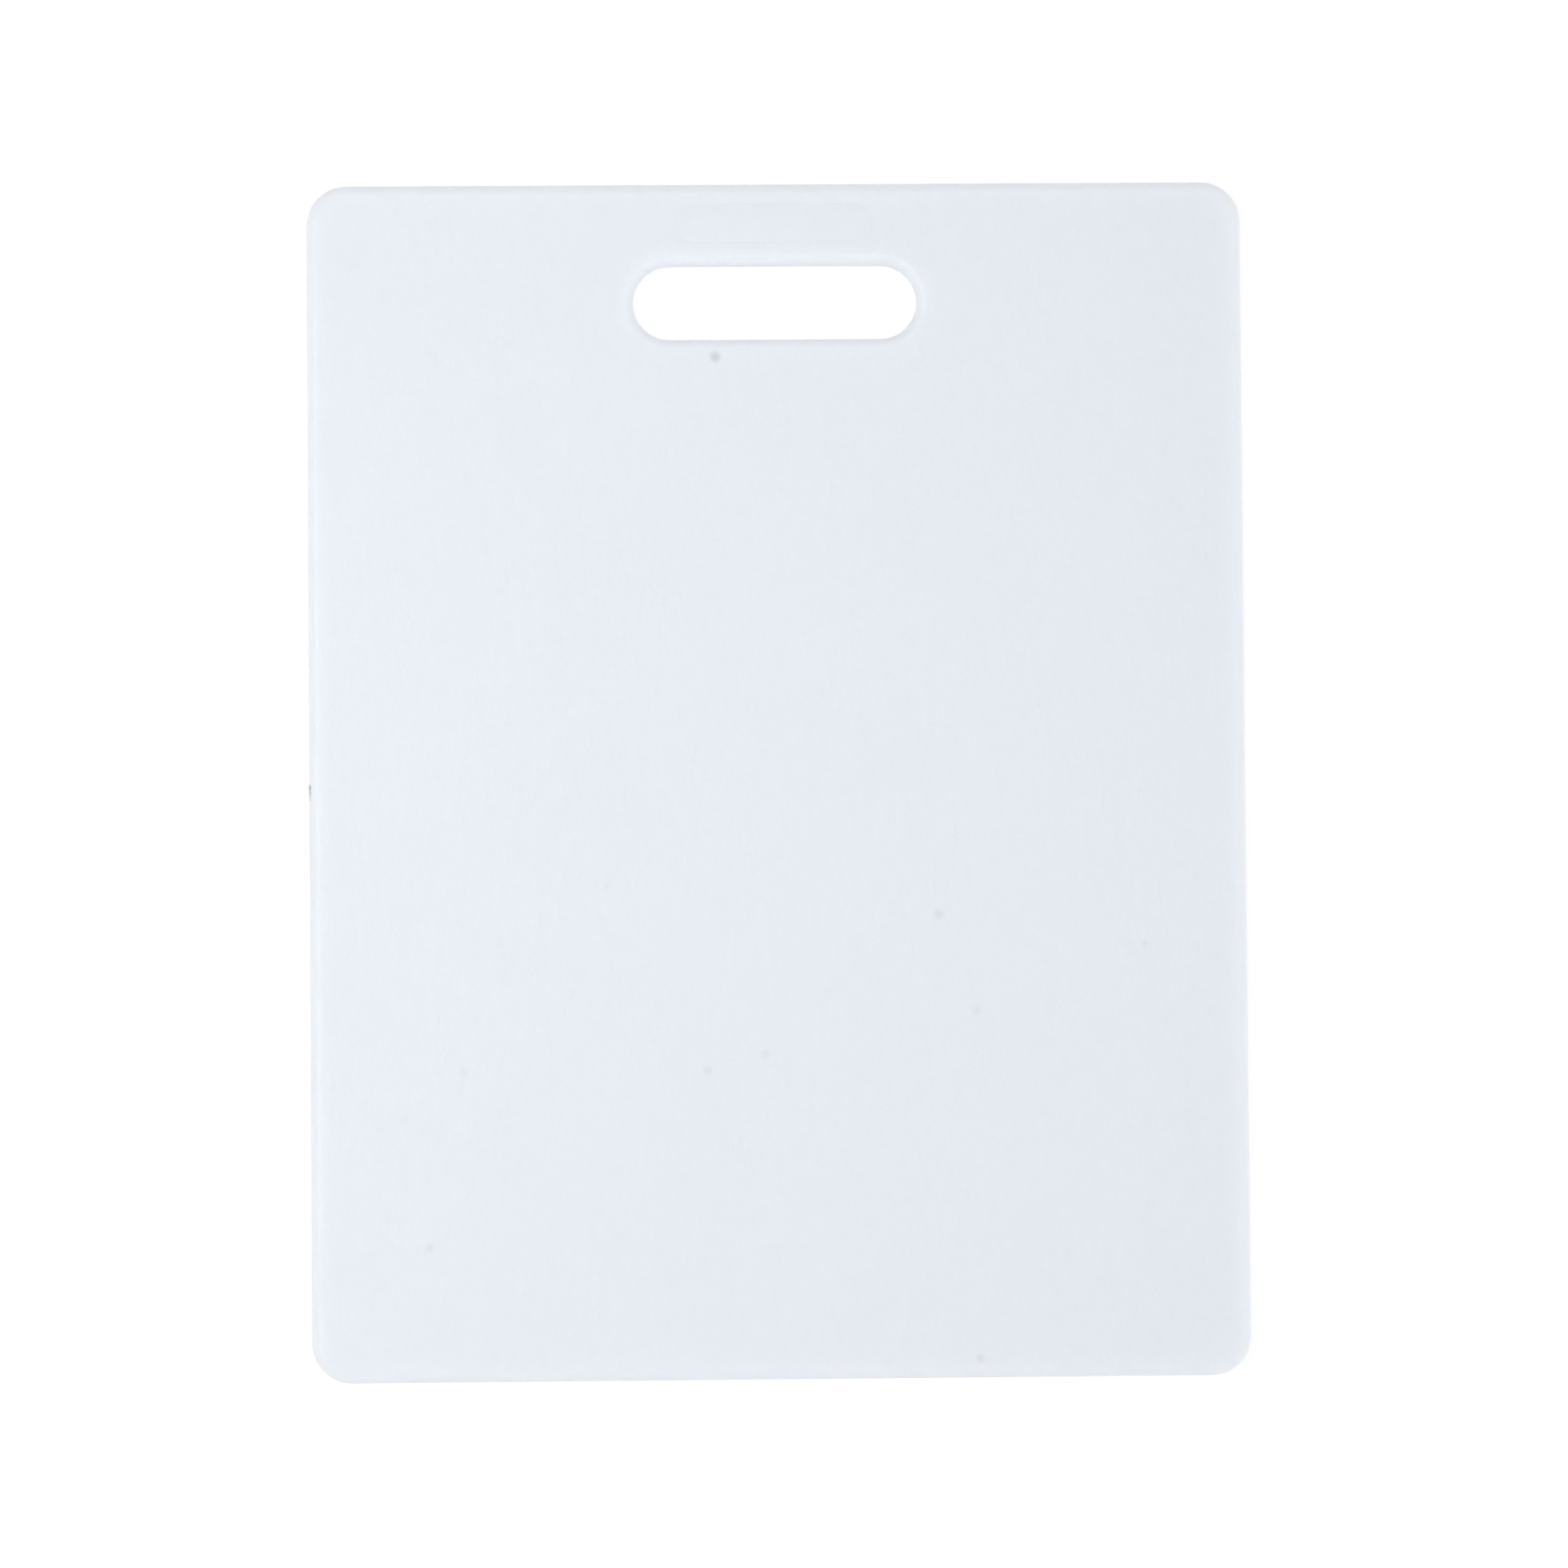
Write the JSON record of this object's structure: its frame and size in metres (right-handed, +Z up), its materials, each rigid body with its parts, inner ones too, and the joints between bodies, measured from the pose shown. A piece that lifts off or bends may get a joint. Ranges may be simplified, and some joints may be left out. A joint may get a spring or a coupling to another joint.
{
  "type": "cutting board",
  "caption": "Flat rectangular moulded polyethylene cutting board with rounded corners, rounded rims and a stadium-shaped hand slot near one short end.",
  "frame": {"origin": "centre of the board's underside, so the board lies flat on the plane Z = 0", "axes": "+Z up through the thickness, +Y along the length towards the end with the hand slot, +X across the width"},
  "size_m": [0.279, 0.356, 0.008],
  "materials": {
    "board_plastic": "satin"
  },
  "bodies": {
    "root": {"board": "board_plastic"}
  },
  "joints": []
}
